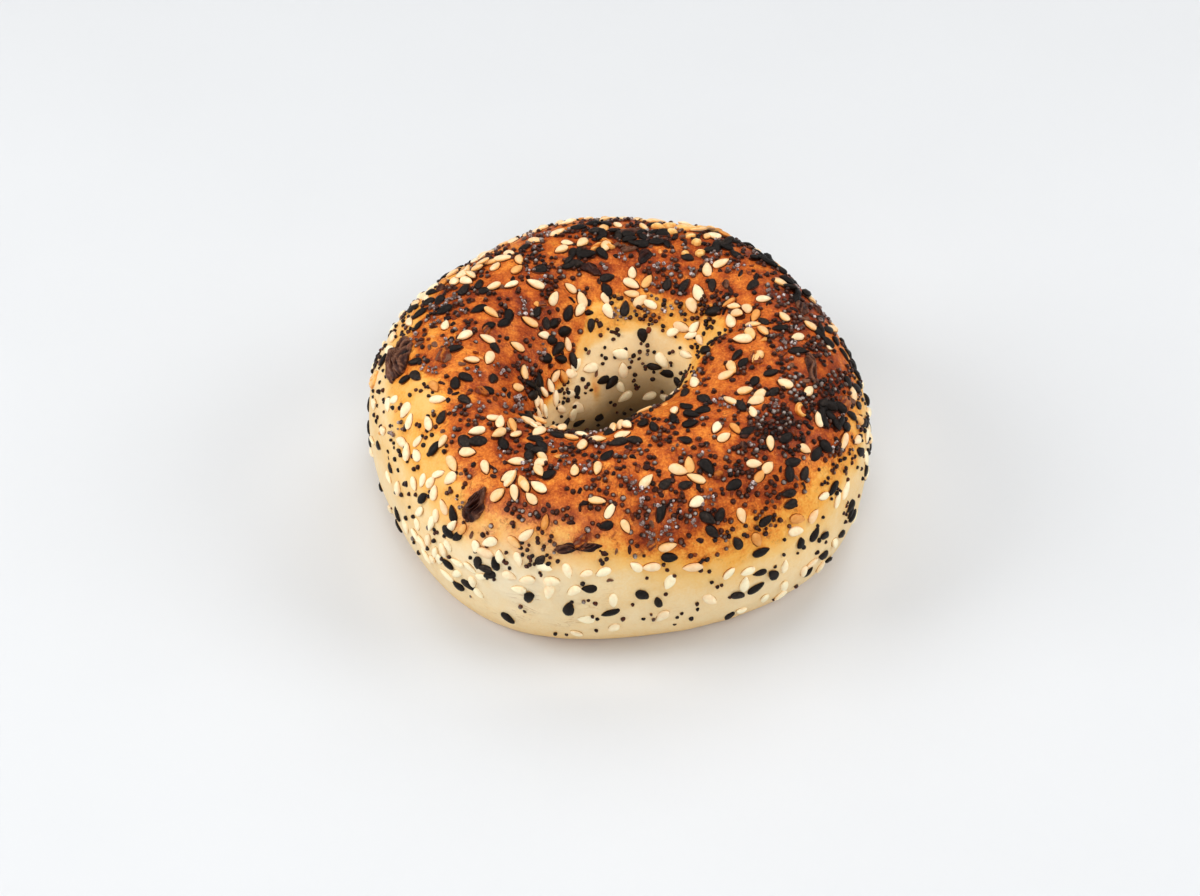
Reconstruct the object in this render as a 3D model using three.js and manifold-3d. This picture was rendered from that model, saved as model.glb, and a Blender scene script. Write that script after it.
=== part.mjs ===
// A ring bagel with sesame seeds and onion flakes baked onto its crust, as one solid.
// Millimetres, +Z up. The origin is on the surface that the bagel rests on, under the
// middle of its outline. "Around" is the angle about +Z, counter-clockwise from +X.
// "Over" is the angle over the ring's section: 0 outside, 90 on the crest, 180 in the
// hole, 270 underneath.

import * as THREE from 'three';
import { ConvexGeometry } from 'three/addons/geometries/ConvexGeometry.js';
import { ParametricGeometry } from 'three/addons/geometries/ParametricGeometry.js';
import { mergeVertices } from 'three/addons/utils/BufferGeometryUtils.js';
import Module from 'manifold-3d';

const wasm = await Module();
wasm.setup();

const DEGREE = Math.PI / 180;
const TURN = 2 * Math.PI;

// Outline: a circle that rolling by hand left slightly lumpy.
const RING_CENTRE = [0.1, -1.2];
const OUTER_RADIUS = 48.4;
const OUTER_LUMPS = [
  { perTurn: 2, size: 0.4, towards: -23 },
  { perTurn: 3, size: 0.8, towards: -33 },
  { perTurn: 4, size: 1.1, towards: -23 },
  { perTurn: 5, size: 0.4, towards: 28 },
  { perTurn: 6, size: 0.2, towards: -9 },
];

// Hole: its neck is an ellipse that lies off the middle of the ring.
const HOLE_CENTRE = [-0.3, -4.1];
const NECK_RADII = [15.5, 8.2];
const NECK_DIRECTION = 37;

// Section: four quarters of superellipses. A power of 2 is round, more is squarer.
const RING_HEIGHT = 39;
const HEIGHT_LUMPS = [
  { perTurn: 1, size: 1.2, towards: 60 },
  { perTurn: 2, size: 0.6, towards: 0 },
];
const WAIST_SHARE = 0.46; // height of the widest place
const CREST_SHARE = 0.49; // the highest place, from the neck to the outline
const SHOULDER_POWER = 2.2;
const FAR_FUNNEL_POWER = 1.75;
const NEAR_LIP_POWER = 2.7;
const NEAR_LIP_DIRECTION = -50;
const UNDERSIDE_POWER = 2.6;
const UNDERSIDE_DEPTH = 1.16; // in waist heights, before the base is cut flat
const BASE_EDGE_OVER = 53.18; // where the section meets the base, under the waist

// Crease: where the two ends of the rolled dough overlap, at the hole's edge.
const CREASE = { around: 17, depth: 3.2, steep: 6, gentle: 34, over: 132, spread: 30 };
const CREASE_LOBE_SHARE = 0.8;
const CREASE_VALLEY_SHARE = 0.9;

// Low swells of the crust, which fade out towards the base.
const SWELLS = [
  { size: 0.4, around: 3, aroundPhase: 1.9, over: 2, overPhase: 0.4 },
  { size: 0.28, around: 5, aroundPhase: 0.7, over: 3, overPhase: 1.1 },
  { size: 0.18, around: 8, aroundPhase: 2.6, over: 4, overPhase: 0.3 + Math.PI / 2 },
];
const SWELLS_FADE = { from: -0.75, to: -0.25 }; // sines of over

// Facets of the bread: steps around the ring, and over its section above the base.
const STEPS_AROUND = 72;
const STEPS_OVER = 24;
const FINEST_DETAIL = 0.03; // what a join leaves that is finer is taken out

// Sesame seeds: drops that lie flat, with their rim baked in. Of their 4.3 by 2.8 at the
// rim, 3.2 by 1.9 shows.
const SEED = { length: 4.3, width: 2.8, sink: 0.35, rise: 0.75, keel: 0.9 };
const SEED_OUTLINE = [[1, 0], [0.3, 0.8], [-0.5, 0.95], [-1, 0]];
const SEED_RIDGE = [0.25, -0.42];
const SEED_COUNT = 290;
const SEED_SPACING = 4.8;
const SEED_SCALE = { least: 0.88, spread: 0.24 };
const SEEDED_OVER = { from: -30, to: 212 };
const STEEP_WALL_SHARE = 0.6; // seeds on the walls, against those on the top
const STEEP_WALL_SINE = 0.3;
const LARGEST_AREA = 1150; // square millimetres for each radian around and over
const DRAW_SEED = 20241;
const MOST_TRIES = 40000;
const SLOPE_STEP = 0.01; // radians, for the crust's directions

// Onion and garlic flakes, lying on the crust. "Turn" is from the around direction.
const FLAKES = [
  { around: 179, over: 50, length: 9.0, width: 6.0, turn: 150 },
  { around: 234, over: 43, length: 6.4, width: 3.8, turn: 85 },
  { around: 184, over: 80, length: 3.8, width: 3.0, turn: 170 },
  { around: 260, over: 34, length: 8.0, width: 2.4, turn: 5 },
  { around: 351, over: 67, length: 7.6, width: 2.2, turn: 10 },
  { around: 86, over: 75, length: 5.2, width: 2.8, turn: 20 },
  { around: 176, over: 23, length: 4.2, width: 3.4, turn: 80 },
  { around: 69, over: 60, length: 4.6, width: 3.6, turn: 30 },
  { around: 78, over: 97, length: 3.6, width: 2.6, turn: 70 },
  { around: 102, over: 101, length: 4.4, width: 2.4, turn: 130 },
  { around: 345, over: 45, length: 3.8, width: 2.8, turn: 0 },
  { around: 333, over: 67, length: 4.0, width: 2.8, turn: 40 },
  { around: 18, over: 62, length: 3.8, width: 2.6, turn: 0 },
];
const FLAKE = { rise: 0.95, sink: 0.35, rim: 10, rings: 4, lobes: 3, lobeSize: 0.16 };
const FLAKE_CLEARANCE = 1.2;

const CRUST_COLOUR = 0xc9772f;

function wave(terms, around) {
  let sum = 0;
  for (const { perTurn, size, towards } of terms) {
    sum += size * Math.cos(perTurn * (around - towards * DEGREE));
  }
  return sum;
}

function neckRadius(around) {
  const along = Math.cos(around - NECK_DIRECTION * DEGREE) / NECK_RADII[0];
  const across = Math.sin(around - NECK_DIRECTION * DEGREE) / NECK_RADII[1];
  return 1 / Math.hypot(along, across);
}

function sectionPower(around, over) {
  if (Math.sin(over) < 0) {
    return UNDERSIDE_POWER;
  }
  if (Math.cos(over) >= 0) {
    return SHOULDER_POWER;
  }
  const nearness = 0.5 + 0.5 * Math.cos(around - NEAR_LIP_DIRECTION * DEGREE);
  return FAR_FUNNEL_POWER + (NEAR_LIP_POWER - FAR_FUNNEL_POWER) * nearness;
}

// A point of the section with the waist at height 0: outwards and upwards, up to 1.
function sectionPoint(around, over) {
  const outwards = Math.cos(over);
  const upwards = Math.sin(over);
  const power = sectionPower(around, over);
  const sum = Math.abs(outwards) ** power + Math.abs(upwards) ** power;
  const reach = sum ** (-1 / power);
  return [outwards * reach, upwards * reach];
}

function creaseLift(around, over) {
  const turned = around / DEGREE - CREASE.around + 180;
  const past = turned - 360 * Math.floor(turned / 360) - 180;
  const gentle = Math.exp(-((past / CREASE.gentle) ** 2));
  const steep = Math.exp(-((past / CREASE.steep) ** 2));
  const lobe = past < 0 ? gentle * (1 - steep) : 0;
  const valley = past < 0 ? steep : gentle;
  const window = Math.exp(-(((over / DEGREE - CREASE.over) / CREASE.spread) ** 2));
  return CREASE.depth * window * (CREASE_LOBE_SHARE * lobe - CREASE_VALLEY_SHARE * valley);
}

function swell(around, over) {
  let sum = 0;
  for (const term of SWELLS) {
    const turnwise = Math.sin(term.around * around + term.aroundPhase);
    sum += term.size * turnwise * Math.sin(term.over * over + term.overPhase);
  }
  const fade = (Math.sin(over) - SWELLS_FADE.from) / (SWELLS_FADE.to - SWELLS_FADE.from);
  return sum * Math.min(Math.max(fade, 0), 1);
}

// The crust's surface, by its angles in radians.
function crust(around, over) {
  const [outwards, upwards] = sectionPoint(around, over);
  const side = outwards >= 0 ? 1 - CREST_SHARE : CREST_SHARE;
  const share = CREST_SHARE + side * outwards;
  const outer = OUTER_RADIUS + wave(OUTER_LUMPS, around);
  const neck = neckRadius(around);
  const height = RING_HEIGHT + wave(HEIGHT_LUMPS, around);
  const waist = WAIST_SHARE * height;
  const span = upwards >= 0 ? height - waist : UNDERSIDE_DEPTH * waist;
  const lift = swell(around, over);
  const neckX = HOLE_CENTRE[0] + neck * Math.cos(around);
  const neckY = HOLE_CENTRE[1] + neck * Math.sin(around);
  const outerX = RING_CENTRE[0] + outer * Math.cos(around);
  const outerY = RING_CENTRE[1] + outer * Math.sin(around);
  const x = neckX + (outerX - neckX) * share + lift * Math.cos(over) * Math.cos(around);
  const y = neckY + (outerY - neckY) * share + lift * Math.cos(over) * Math.sin(around);
  const bare = Math.max(waist + span * upwards + creaseLift(around, over), 0);
  return new THREE.Vector3(x, y, Math.max(bare + lift * Math.sin(over), 0));
}

// A place on the crust with its directions: around, over and out of the bread.
function crustFrame(around, over) {
  const step = SLOPE_STEP;
  const place = crust(around, over);
  const aroundStep = crust(around + step, over).sub(crust(around - step, over));
  const overStep = crust(around, over + step).sub(crust(around, over - step));
  const normal = new THREE.Vector3().crossVectors(aroundStep, overStep);
  const area = normal.length() / (2 * step) ** 2;
  const along = aroundStep.normalize();
  const out = normal.normalize();
  const across = new THREE.Vector3().crossVectors(out, along);
  return { place, along, across, out, area };
}

// The matrix that lays a small thing on the crust: its X is its length, its Z is out.
function laidOn(frame, turn) {
  const length = frame.along.clone().multiplyScalar(Math.cos(turn));
  length.addScaledVector(frame.across, Math.sin(turn));
  const width = new THREE.Vector3().crossVectors(frame.out, length);
  return new THREE.Matrix4().makeBasis(length, width, frame.out).setPosition(frame.place);
}

// Bread: the section swept around, and closed by a flat strip along its base.
function breadGeometry() {
  const stacks = STEPS_OVER + 1;
  const from = -BASE_EDGE_OVER * DEGREE;
  const to = Math.PI - from;
  const skin = (u, v, target) => {
    const ring = Math.round(v * stacks) % stacks;
    const over = from + ((to - from) * ring) / STEPS_OVER;
    target.copy(crust((u % 1) * TURN, over));
    if (ring === 0 || ring === STEPS_OVER) {
      target.z = 0;
    }
  };
  return new ParametricGeometry(skin, STEPS_AROUND, stacks);
}

function sesameGeometry(scale) {
  const halfLength = (SEED.length / 2) * scale;
  const halfWidth = (SEED.width / 2) * scale;
  const points = [];
  for (const [along, across] of SEED_OUTLINE) {
    points.push(new THREE.Vector3(along * halfLength, across * halfWidth, -SEED.sink));
    if (across > 0) {
      points.push(new THREE.Vector3(along * halfLength, -across * halfWidth, -SEED.sink));
    }
  }
  for (const along of SEED_RIDGE) {
    points.push(new THREE.Vector3(along * halfLength, 0, SEED.rise));
  }
  points.push(new THREE.Vector3(0, 0, -SEED.keel));
  return new ConvexGeometry(points);
}

// A flake: a flat lump with a lobed rim, half sunk in the crust.
function flakeGeometry({ around, length, width }) {
  const geometry = new THREE.SphereGeometry(1, FLAKE.rim, FLAKE.rings);
  geometry.rotateX(Math.PI / 2);
  const position = geometry.getAttribute('position');
  for (let i = 0; i < position.count; i += 1) {
    const bearing = Math.atan2(position.getY(i), position.getX(i));
    const lobe = 1 + FLAKE.lobeSize * Math.sin(FLAKE.lobes * bearing + around);
    const x = position.getX(i) * (length / 2) * lobe;
    const y = position.getY(i) * (width / 2) * lobe;
    const rise = FLAKE.rise + FLAKE.sink;
    position.setXYZ(i, x, y, position.getZ(i) * rise - FLAKE.sink);
  }
  return geometry;
}

// Mulberry32, a small generator that gives the same draws each time.
function seededDraws(seed) {
  let state = seed;
  return () => {
    state = (state + 0x6d2b79f5) | 0;
    let mixed = Math.imul(state ^ (state >>> 15), 1 | state);
    mixed = (mixed + Math.imul(mixed ^ (mixed >>> 7), 61 | mixed)) ^ mixed;
    return ((mixed ^ (mixed >>> 14)) >>> 0) / 2 ** 32;
  };
}

function isClear(place, seeds, flakes) {
  const apart = seeds.every((seed) => seed.frame.place.distanceTo(place) > SEED_SPACING);
  return apart && flakes.every(({ spot, reach }) => spot.distanceTo(place) > reach);
}

// Sesame seeds, scattered evenly by area and thinner on the walls, clear of the flakes.
function scatterSesame() {
  const draw = seededDraws(DRAW_SEED);
  const flakes = FLAKES.map(({ around, over, length }) => ({
    spot: crust(around * DEGREE, over * DEGREE),
    reach: length / 2 + SEED.length / 2 + FLAKE_CLEARANCE,
  }));
  const seeds = [];
  for (let tries = 0; tries < MOST_TRIES && seeds.length < SEED_COUNT; tries += 1) {
    const around = draw() * TURN;
    const over = (SEEDED_OVER.from + (SEEDED_OVER.to - SEEDED_OVER.from) * draw()) * DEGREE;
    const chance = draw();
    const turn = draw() * TURN;
    const scale = SEED_SCALE.least + SEED_SCALE.spread * draw();
    const frame = crustFrame(around, over);
    const share = Math.sin(over) > STEEP_WALL_SINE ? 1 : STEEP_WALL_SHARE;
    const wanted = chance * LARGEST_AREA < frame.area * share;
    if (wanted && isClear(frame.place, seeds, flakes)) {
      seeds.push({ frame, turn, scale });
    }
  }
  return seeds;
}

function toSolid(geometry) {
  const bare = geometry.clone();
  bare.deleteAttribute('normal');
  bare.deleteAttribute('uv');
  const merged = mergeVertices(bare);
  const vertProperties = new Float32Array(merged.getAttribute('position').array);
  const triVerts = new Uint32Array(merged.index.array);
  return new wasm.Manifold(new wasm.Mesh({ numProp: 3, vertProperties, triVerts }));
}

// The largest connected piece alone: no sealed hollow under a topping and no scrap.
function withoutScraps(solid) {
  const pieces = solid.decompose();
  return pieces.reduce((best, piece) => (piece.volume() > best.volume() ? piece : best));
}

function toGeometry(solid) {
  const { vertProperties, triVerts } = solid.getMesh();
  const geometry = new THREE.BufferGeometry();
  geometry.setAttribute('position', new THREE.BufferAttribute(vertProperties, 3));
  geometry.setIndex(new THREE.BufferAttribute(triVerts, 1));
  geometry.computeVertexNormals();
  return geometry;
}

function bagelGeometry() {
  const solids = [toSolid(breadGeometry())];
  for (const flake of FLAKES) {
    const frame = crustFrame(flake.around * DEGREE, flake.over * DEGREE);
    const geometry = flakeGeometry(flake).applyMatrix4(laidOn(frame, flake.turn * DEGREE));
    solids.push(toSolid(geometry));
  }
  for (const { frame, turn, scale } of scatterSesame()) {
    solids.push(toSolid(sesameGeometry(scale).applyMatrix4(laidOn(frame, turn))));
  }
  const joined = solids.reduce((whole, solid) => whole.add(solid));
  return toGeometry(withoutScraps(joined).asOriginal().simplify(FINEST_DETAIL));
}

const crustMaterial = new THREE.MeshStandardMaterial({
  color: CRUST_COLOUR,
  roughness: 0.6,
  metalness: 0,
});

const bagel = new THREE.Mesh(bagelGeometry(), crustMaterial);
bagel.name = 'bagel';

const group = new THREE.Group();
group.add(bagel);

export default group;
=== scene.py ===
import itertools
import math
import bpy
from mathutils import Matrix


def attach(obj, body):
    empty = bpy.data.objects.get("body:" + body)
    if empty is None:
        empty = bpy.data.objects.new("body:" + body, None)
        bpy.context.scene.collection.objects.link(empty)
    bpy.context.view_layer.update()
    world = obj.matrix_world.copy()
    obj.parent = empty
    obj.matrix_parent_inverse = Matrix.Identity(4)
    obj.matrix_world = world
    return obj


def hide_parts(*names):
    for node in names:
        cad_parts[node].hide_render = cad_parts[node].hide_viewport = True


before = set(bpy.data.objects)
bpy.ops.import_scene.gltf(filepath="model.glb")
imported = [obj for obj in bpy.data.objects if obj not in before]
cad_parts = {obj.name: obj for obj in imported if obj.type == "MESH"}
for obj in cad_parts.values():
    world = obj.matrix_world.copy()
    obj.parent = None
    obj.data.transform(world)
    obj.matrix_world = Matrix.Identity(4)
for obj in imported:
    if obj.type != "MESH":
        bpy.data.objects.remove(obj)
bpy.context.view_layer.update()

from types import SimpleNamespace

import bpy
import numpy as np
from mathutils import Vector
from mathutils.kdtree import KDTree

# Lengths are in millimetres and angles in degrees unless a name says otherwise; meshes
# are written in metres. "Around" is the angle about +Z, counter-clockwise from +X.
# "Over" is the angle over the ring's section: 0 outside, 90 crest, 180 in the hole.

MM = 0.001
BODY = "root"
NODE = "bagel"

# ---------------- the ring's form
RING_CENTRE = (0.1, -1.2)
OUTER_RADIUS = 48.4
OUTER_LUMPS = ((2, 0.4, -23), (3, 0.8, -33), (4, 1.1, -23), (5, 0.4, 28), (6, 0.2, -9))
HOLE_CENTRE = (-0.3, -4.1)
NECK_RADII = (15.5, 8.2)
NECK_DIRECTION = 37
RING_HEIGHT = 39
HEIGHT_LUMPS = ((1, 1.2, 60), (2, 0.6, 0))
WAIST_SHARE = 0.46
CREST_SHARE = 0.49
SHOULDER_POWER = 2.2
FAR_FUNNEL_POWER = 1.75
NEAR_LIP_POWER = 2.7
NEAR_LIP_DIRECTION = -50
UNDERSIDE_POWER = 2.6
UNDERSIDE_DEPTH = 1.16
BASE_EDGE_OVER = 53.18
CREASE = SimpleNamespace(around=17, depth=3.2, steep=6, gentle=34, over=132, spread=30)
CREASE_LOBE_SHARE = 0.8
CREASE_VALLEY_SHARE = 0.9
SWELLS = (
    (0.4, 3, 1.9, 2, 0.4),
    (0.28, 5, 0.7, 3, 1.1),
    (0.18, 8, 2.6, 4, 0.3 + math.pi / 2),
)
SWELLS_FADE = (-0.75, -0.25)
SLOPE_STEP = 0.01

# Facets of the bread: around, over its section, and across its base.
STEPS_AROUND = 460
STEPS_OVER = 196
STEPS_BASE = 10

# ---------------- the even sesame, as in the solid
SEED_COUNT = 290
SEED_SPACING = 4.8
SEED_SUNK_LENGTH = 4.3
SEED_SCALE = (0.88, 0.24)
SEEDED_OVER = (-30, 212)
STEEP_WALL_SHARE = 0.6
STEEP_WALL_SINE = 0.3
LARGEST_AREA = 1150
DRAW_SEED = 20241
MOST_TRIES = 12000
FLAKE_CLEARANCE = 1.2

# Flakes: around, over, length, width, turn from the around direction, kind.
FLAKES = (
    (179, 50, 9.0, 6.0, 165, "raisin"), (234, 43, 6.4, 3.8, 85, "leaf"),
    (184, 80, 3.8, 3.0, 170, "blister"), (260, 34, 8.0, 2.4, 5, "husk"),
    (351, 67, 7.6, 2.2, 10, "strip"), (86, 75, 5.2, 2.8, 20, "slab"),
    (176, 23, 4.2, 3.4, 80, "nut"), (69, 60, 4.6, 3.6, 30, "nut"),
    (78, 97, 3.6, 2.6, 70, "hull"), (102, 101, 4.4, 2.4, 130, "hull"),
    (345, 45, 3.8, 2.8, 0, "blister"), (333, 67, 4.0, 2.8, 40, "curl"),
    (18, 62, 3.8, 2.6, 0, "slab"),
)
# Smaller bits that only lie on the crust, in the same columns.
BITS = (
    (176, 55, 4.5, 3.5, 165, "knob"), (203, 100, 2.8, 1.9, 40, "blister"),
    (351, 98, 3.0, 2.6, 20, "blister"), (134, 111, 1.9, 1.6, 0, "blister"),
    (85, 92, 3.4, 1.3, 10, "slab"), (77, 67, 2.8, 1.7, 0, "nut"), (72, 72, 2.2, 1.8, 30, "nut"),
    (66, 72, 2.4, 2.0, 70, "nut"), (62, 79, 2.0, 1.8, 10, "nut"), (74, 63, 2.8, 2.2, 20, "nut"),
    (58, 88, 2.0, 1.8, 60, "nut"), (63, 91, 1.6, 1.4, 0, "nut"),
    (98, 86, 3.4, 1.1, 35, "shard"), (94, 82, 3.2, 1.2, 140, "shard"),
    (261, 37, 3.2, 2.4, 60, "blister"), (278, 33, 2.4, 1.6, 50, "blister"),
    (300, 63, 2.0, 1.5, 20, "blister"), (312, 72, 1.8, 1.4, 80, "slab"),
    (168, 101, 2.2, 1.5, 10, "blister"), (40, 101, 2.4, 1.4, 150, "slab"),
    (20, 47, 2.8, 1.8, 30, "slab"), (228, 100, 1.9, 1.3, 60, "blister"),
    (150, 55, 2.6, 1.7, 20, "slab"), (93, 88, 2.6, 1.0, 150, "shard"),
    (66, 52, 2.8, 2.2, 20, "nut"), (59, 48, 2.6, 2.2, 50, "nut"),
)
# Heaps of sesame: around, over, reach and number.
HEAPS = dict(
    black=(
        (108, 94, 3.0, 6), (42, 60, 3.2, 6), (26, 58, 3.0, 4), (54, 72, 2.6, 4),
        (240, 91, 1.8, 4), (338, 50, 3.2, 7), (81, 80, 3.2, 8), (93, 74, 3.0, 5),
        (6, 57, 2.6, 3), (142, 143, 2.4, 3), (187, 141, 2.4, 4),
    ),
    white=(
        (231, 124, 3.2, 6), (244, 66, 3.6, 5), (62, 60, 3.4, 6), (28, 104, 2.6, 4),
        (226, 100, 3.0, 4), (270, 118, 2.4, 3), (140, 62, 3.2, 6),
    ),
)
# Loose groups, which lie flat, in the same columns.
GROUPS = dict(
    black=(
        (178, 103, 4.0, 4), (346, 104, 4.0, 4), (3, 32, 4.5, 5), (150, 120, 3.6, 3),
        (72, 91, 3.0, 3), (306, 104, 3.0, 3), (176, 47, 3.6, 4), (140, 151, 3.4, 3),
        (304, -27, 1.5, 2), (297, -31, 1.0, 1), (316, -20, 1.5, 2), (231, 8, 5.0, 4),
        (242, 20, 4.5, 4), (50, 164, 2.0, 2),
    ),
    white=(
        (150, 49, 5.0, 6), (112, 47, 5.0, 6), (92, 46, 4.0, 4), (330, 91, 3.8, 5),
        (240, 75, 3.6, 4), (180, 157, 4.0, 5), (163, 168, 4.0, 3), (128, 146, 3.5, 3),
        (309, -24, 3.0, 3), (300, -29, 1.0, 1), (223, 0, 5.0, 4), (235, 8, 5.0, 5),
        (246, 15, 4.5, 5), (257, 16, 4.0, 4), (104, 122, 4.0, 4), (80, 128, 3.5, 3),
        (47, 139, 2.5, 2),
    ),
)
HEAP_APART, GROUP_APART = 1.35, 2.3


def wave(terms, around):
    return sum(size * np.cos(turns * (around - np.radians(to))) for turns, size, to in terms)


def neck_radius(around):
    along = np.cos(around - math.radians(NECK_DIRECTION)) / NECK_RADII[0]
    across = np.sin(around - math.radians(NECK_DIRECTION)) / NECK_RADII[1]
    return 1 / np.hypot(along, across)


def section_point(around, over):
    """A point of the section with its waist at height 0: outwards and upwards, up to 1."""
    outwards, upwards = np.cos(over), np.sin(over)
    nearness = 0.5 + 0.5 * np.cos(around - math.radians(NEAR_LIP_DIRECTION))
    lip = FAR_FUNNEL_POWER + (NEAR_LIP_POWER - FAR_FUNNEL_POWER) * nearness
    top = np.where(outwards >= 0, SHOULDER_POWER, lip)
    power = np.where(upwards < 0, UNDERSIDE_POWER, top)
    reach = (np.abs(outwards) ** power + np.abs(upwards) ** power) ** (-1 / power)
    return outwards * reach, upwards * reach


def turned_by(around, centre):
    return (around - centre + 180) % 360 - 180


def bell(value, spread):
    return np.exp(-((value / spread) ** 2))


def crease_lift(around, over):
    past = turned_by(np.degrees(around), CREASE.around)
    gentle, steep = bell(past, CREASE.gentle), bell(past, CREASE.steep)
    lobe = np.where(past < 0, gentle * (1 - steep), 0)
    valley = np.where(past < 0, steep, gentle)
    window = bell(np.degrees(over) - CREASE.over, CREASE.spread)
    return CREASE.depth * window * (CREASE_LOBE_SHARE * lobe - CREASE_VALLEY_SHARE * valley)


def swell(around, over):
    total = 0
    for size, turns, phase, over_turns, over_phase in SWELLS:
        ripple = np.sin(over_turns * over + over_phase)
        total = total + size * np.sin(turns * around + phase) * ripple
    low, high = SWELLS_FADE
    return total * np.clip((np.sin(over) - low) / (high - low), 0, 1)


def crust(around, over):
    """The crust's surface by its angles in radians: an array of points."""
    outwards, upwards = section_point(around, over)
    side = np.where(outwards >= 0, 1 - CREST_SHARE, CREST_SHARE)
    share = CREST_SHARE + side * outwards
    outer = OUTER_RADIUS + wave(OUTER_LUMPS, around)
    neck = neck_radius(around)
    height = RING_HEIGHT + wave(HEIGHT_LUMPS, around)
    waist = WAIST_SHARE * height
    span = np.where(upwards >= 0, height - waist, UNDERSIDE_DEPTH * waist)
    lift = swell(around, over)
    neck_x = HOLE_CENTRE[0] + neck * np.cos(around)
    neck_y = HOLE_CENTRE[1] + neck * np.sin(around)
    outer_x = RING_CENTRE[0] + outer * np.cos(around)
    outer_y = RING_CENTRE[1] + outer * np.sin(around)
    x = neck_x + (outer_x - neck_x) * share + lift * np.cos(over) * np.cos(around)
    y = neck_y + (outer_y - neck_y) * share + lift * np.cos(over) * np.sin(around)
    bare = np.maximum(waist + span * upwards + crease_lift(around, over), 0)
    return np.stack([x, y, np.maximum(bare + lift * np.sin(over), 0)], axis=-1)


def crust_at(around, over):
    """Places on the crust by their angles in degrees."""
    return crust(np.radians(around), np.radians(over))


def slopes(around, over):
    """How a place on the crust moves for each radian around and over."""
    step = SLOPE_STEP
    along = crust(around + step, over) - crust(around - step, over)
    upward = crust(around, over + step) - crust(around, over - step)
    return along / (2 * step), upward / (2 * step)


def unit(vectors):
    return vectors / np.linalg.norm(vectors, axis=-1, keepdims=True)


def crust_frame(around, over):
    """Places on the crust, with the around, across and outward directions and the area."""
    along, upward = slopes(around, over)
    normal = np.cross(along, upward)
    along, out = unit(along), unit(normal)
    return SimpleNamespace(
        place=crust(around, over),
        along=along,
        across=np.cross(out, along),
        out=out,
        area=np.linalg.norm(normal, axis=-1),
    )


# ---------------- noise and draws
def lattice_noise(points, cell, seed):
    """Smooth noise from -1 to 1, from one draw at each corner of a grid of cells."""
    scaled = points / cell
    corner = np.floor(scaled).astype(np.int64)
    part = scaled - corner
    part = part * part * (3 - 2 * part)
    total = np.zeros(len(points))
    for offset in itertools.product((0, 1), repeat=3):
        x, y, z = (corner + offset).T
        mixed = (x * 73856093) ^ (y * 19349663) ^ (z * 83492791) ^ (seed * 2654435761)
        mixed = (mixed ^ (mixed >> 13)) * 1274126177 & 0x7FFFFFFF
        value = ((mixed ^ (mixed >> 16)) & 0xFFFF) / 0x7FFF - 1
        weight = np.prod(np.where(np.array(offset) == 1, part, 1 - part), axis=1)
        total += value * weight
    return total


def layered_noise(points, layers):
    """Layers of noise, each given by its height, cell and seed."""
    return sum(height * lattice_noise(points, cell, seed) for height, cell, seed in layers)


def seeded_draws(seed, count):
    """Mulberry32, a small generator that gives the same draws each time."""
    mask = 0xFFFFFFFF
    state = seed
    draws = []
    for _ in range(count):
        state = (state + 0x6D2B79F5) & mask
        mixed = (state ^ (state >> 15)) * (1 | state) & mask
        mixed = ((mixed + ((mixed ^ (mixed >> 7)) * (61 | mixed) & mask)) & mask) ^ mixed
        draws.append((mixed ^ (mixed >> 14)) / 2**32)
    return np.array(draws)


def smooth_step(low, high, value):
    part = np.clip((value - low) / (high - low), 0, 1)
    return part * part * (3 - 2 * part)


def patch(around, over, at):
    """A soft oval patch of height 1, at a row with its middle and its spreads."""
    x = turned_by(around, at[0]) / at[2]
    y = (over - at[1]) / at[3]
    return np.exp(-(x * x + y * y))


def spots_of(rows):
    around, over = np.array(rows).T
    return SimpleNamespace(around=around, over=over)


def even_sesame():
    """The sesame seeds of the solid: the same draws, so the same places."""
    draws = seeded_draws(DRAW_SEED, 5 * MOST_TRIES).reshape(-1, 5)
    low, high = SEEDED_OVER
    around = draws[:, 0] * 2 * math.pi
    over = np.radians(low + (high - low) * draws[:, 1])
    frames = crust_frame(around, over)
    share = np.where(np.sin(over) > STEEP_WALL_SINE, 1, STEEP_WALL_SHARE)
    wanted = draws[:, 2] * LARGEST_AREA < frames.area * share
    for flake_around, flake_over, length, *_ in FLAKES:
        clear = length / 2 + SEED_SUNK_LENGTH / 2 + FLAKE_CLEARANCE
        apart = frames.place - crust_at(flake_around, flake_over)
        wanted &= np.linalg.norm(apart, axis=1) > clear
    chosen = []
    for i in np.flatnonzero(wanted):
        if len(chosen) == SEED_COUNT:
            break
        near = frames.place[chosen] - frames.place[i]
        if not chosen or np.linalg.norm(near, axis=1).min() > SEED_SPACING:
            chosen.append(i)
    scale = SEED_SCALE[0] + SEED_SCALE[1] * draws[chosen, 4]
    turn = draws[chosen, 3] * 2 * math.pi
    return SimpleNamespace(around=around[chosen], over=over[chosen], turn=turn, scale=scale)


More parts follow.
